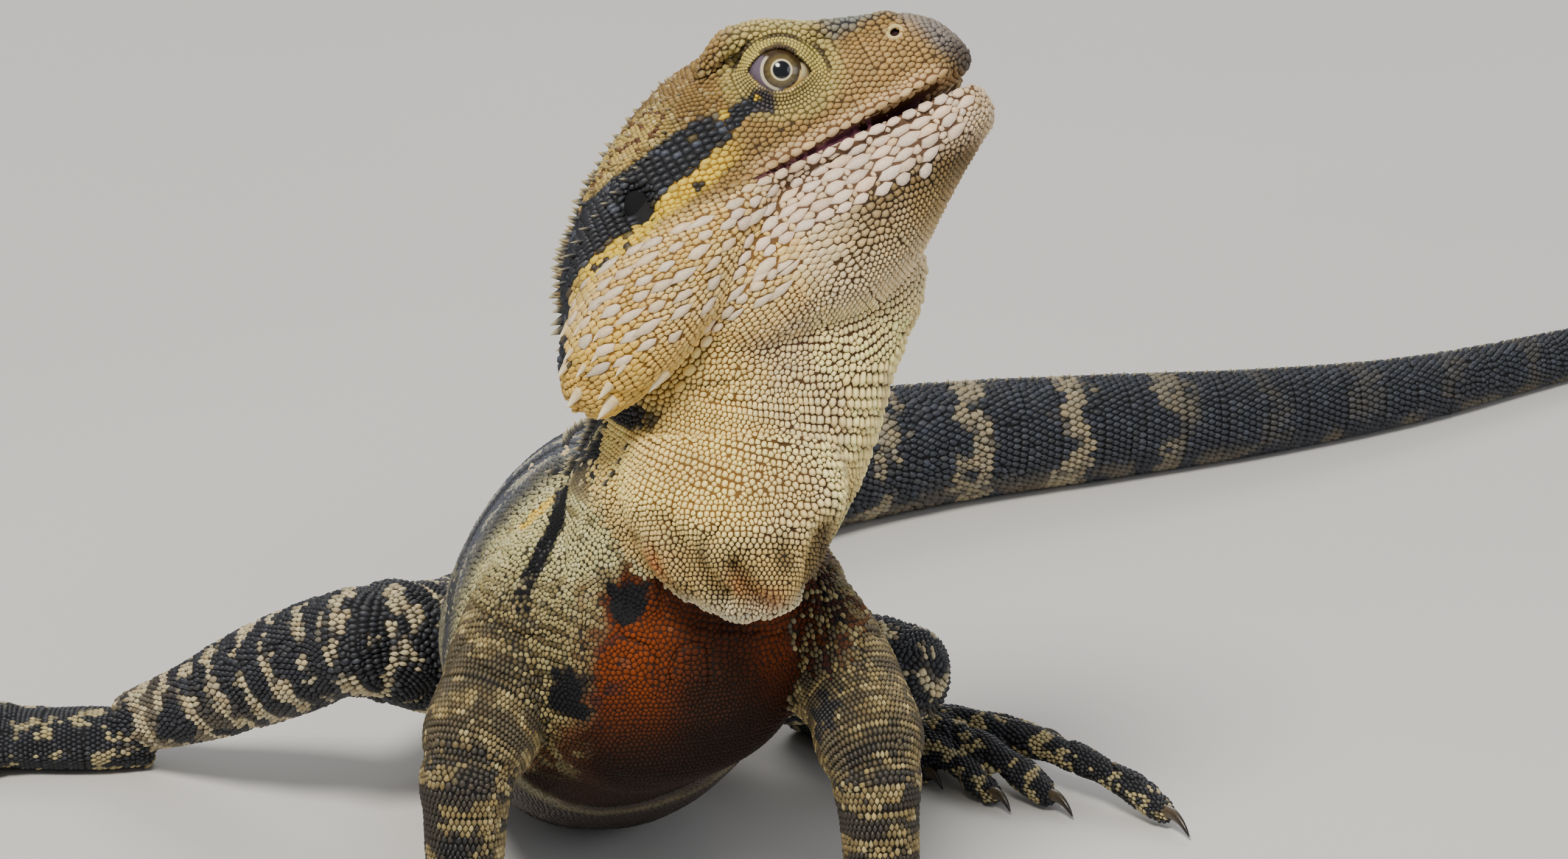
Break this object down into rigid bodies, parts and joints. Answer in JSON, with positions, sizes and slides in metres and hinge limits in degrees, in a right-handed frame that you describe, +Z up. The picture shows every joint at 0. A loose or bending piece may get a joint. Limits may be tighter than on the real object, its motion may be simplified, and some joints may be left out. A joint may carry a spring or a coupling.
{
  "type": "eastern water dragon, adult male",
  "caption": "Life-size still model of a male eastern water dragon, propped on its forelegs with its head raised and its tail swept to its left.",
  "frame": {"origin": "on the floor under the middle of the bounding box", "axes": "+Z up, -Y the way the body faces, +X the side that the head and tail turn to, the animal's left"},
  "size_m": [0.6488, 0.3476, 0.162],
  "materials": {
    "olive": "dry scaled skin",
    "cream": "dry scaled skin",
    "rust": "dry scaled skin",
    "banded": "dry scaled skin",
    "eye": "wet gloss",
    "drum": "dry scaled skin"
  },
  "bodies": {
    "root": {"head": "olive", "lower_jaw": "cream", "eye_left": "eye", "eye_right": "eye", "ear_left": "drum", "ear_right": "drum", "neck": "cream", "throat_pouch": "cream", "torso": "rust", "tail_1": "banded", "tail_2": "banded", "tail_3": "banded", "tail_4": "banded", "tail_5": "banded", "tail_6": "banded", "tail_7": "banded", "upper_arm_left": "olive", "forearm_left": "olive", "hand_left": "banded", "thigh_left": "olive", "shank_left": "olive", "foot_left": "banded", "upper_arm_right": "olive", "forearm_right": "olive", "hand_right": "banded", "thigh_right": "olive", "shank_right": "olive", "foot_right": "banded"}
  },
  "joints": []
}
